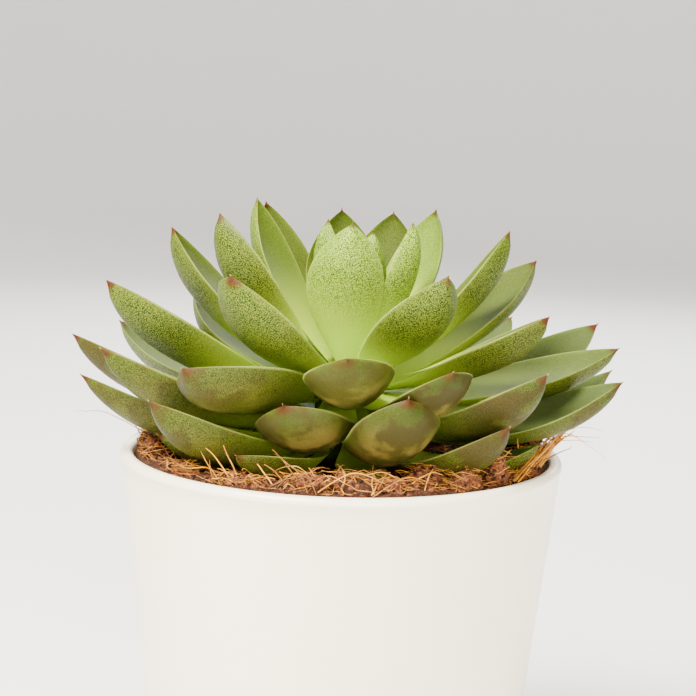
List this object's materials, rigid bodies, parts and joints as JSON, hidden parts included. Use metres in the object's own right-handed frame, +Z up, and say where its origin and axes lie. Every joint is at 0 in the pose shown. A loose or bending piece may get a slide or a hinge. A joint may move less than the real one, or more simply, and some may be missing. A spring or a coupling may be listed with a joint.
{
  "type": "potted echeveria",
  "caption": "Rosette succulent with thick pointed leaves in a round tapered ceramic pot filled with coir.",
  "frame": {"origin": "centre of the pot's flat underside, where it stands", "axes": "+Z up along the pot's axis, -Y the front that faces the viewer, +X the viewer's right"},
  "size_m": [0.1624, 0.1359, 0.188],
  "materials": {
    "pot": "gloss",
    "soil": "matte",
    "tuft": "matte",
    "stem": "matte",
    "leaf_heart": "satin",
    "leaf_middle": "satin",
    "leaf_outer": "satin"
  },
  "bodies": {
    "root": {"pot": "pot", "soil": "soil", "tuft": "tuft", "stem": "stem", "leaf_01": "leaf_heart", "leaf_02": "leaf_heart", "leaf_03": "leaf_heart", "leaf_04": "leaf_heart", "leaf_05": "leaf_heart", "leaf_06": "leaf_heart", "leaf_07": "leaf_heart", "leaf_08": "leaf_heart", "leaf_09": "leaf_heart", "leaf_10": "leaf_heart", "leaf_11": "leaf_heart", "leaf_12": "leaf_heart", "leaf_13": "leaf_middle", "leaf_14": "leaf_middle", "leaf_15": "leaf_middle", "leaf_16": "leaf_middle", "leaf_17": "leaf_middle", "leaf_18": "leaf_middle", "leaf_19": "leaf_middle", "leaf_20": "leaf_middle", "leaf_21": "leaf_middle", "leaf_22": "leaf_middle", "leaf_23": "leaf_middle", "leaf_24": "leaf_middle", "leaf_25": "leaf_middle", "leaf_26": "leaf_middle", "leaf_27": "leaf_middle", "leaf_28": "leaf_middle", "leaf_29": "leaf_middle", "leaf_30": "leaf_middle", "leaf_31": "leaf_middle", "leaf_32": "leaf_middle", "leaf_33": "leaf_outer", "leaf_34": "leaf_outer", "leaf_35": "leaf_outer", "leaf_36": "leaf_outer", "leaf_37": "leaf_outer", "leaf_38": "leaf_outer", "leaf_39": "leaf_outer", "leaf_40": "leaf_outer", "leaf_41": "leaf_outer", "leaf_42": "leaf_outer", "leaf_43": "leaf_outer", "leaf_44": "leaf_outer", "leaf_45": "leaf_outer", "leaf_46": "leaf_outer", "leaf_47": "leaf_outer", "leaf_48": "leaf_outer", "leaf_49": "leaf_outer", "leaf_50": "leaf_outer", "leaf_51": "leaf_outer", "leaf_52": "leaf_outer", "leaf_53": "leaf_outer", "leaf_54": "leaf_outer", "leaf_55": "leaf_outer", "leaf_56": "leaf_outer"}
  },
  "joints": []
}
